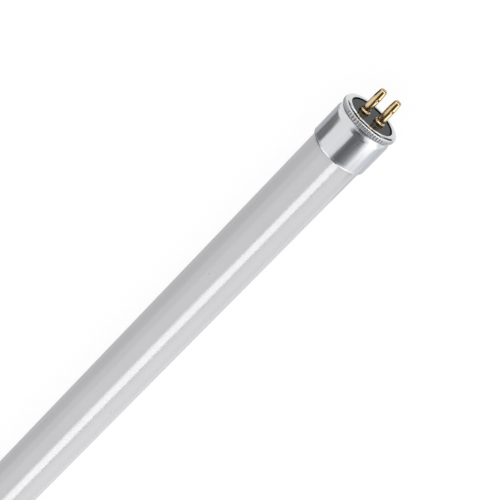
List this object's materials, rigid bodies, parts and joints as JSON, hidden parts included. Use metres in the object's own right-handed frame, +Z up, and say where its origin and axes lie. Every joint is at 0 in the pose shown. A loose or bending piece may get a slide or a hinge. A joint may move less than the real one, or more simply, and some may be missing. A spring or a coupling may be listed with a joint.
{
  "type": "fluorescent tube lamp",
  "caption": "Slim straight fluorescent lamp: a white coated glass tube with a drawn metal two-pin cap on each end, made to bridge a pair of lampholders.",
  "frame": {"origin": "middle of the lamp on its axis", "axes": "+X along the lamp towards the right cap, Y along the line through each cap's two pins, +Z up"},
  "size_m": [0.3026, 0.0168, 0.0168],
  "materials": {
    "coated_glass": "smooth clear glass over an opaque white inner coating",
    "cap_metal": "drawn bright sheet with faint draw lines",
    "disc_plastic": "moulded dark grey, glossy",
    "pin_metal": "drawn and polished",
    "lead_wire": "plain drawn wire"
  },
  "bodies": {
    "root": {"glass_tube": "coated_glass", "cap_shell_right": "cap_metal", "insulator_disc_right": "disc_plastic", "contact_pin_right_front": "pin_metal", "lead_wire_right_front": "lead_wire", "contact_pin_right_back": "pin_metal", "lead_wire_right_back": "lead_wire", "cap_shell_left": "cap_metal", "insulator_disc_left": "disc_plastic", "contact_pin_left_front": "pin_metal", "lead_wire_left_front": "lead_wire", "contact_pin_left_back": "pin_metal", "lead_wire_left_back": "lead_wire"}
  },
  "joints": []
}
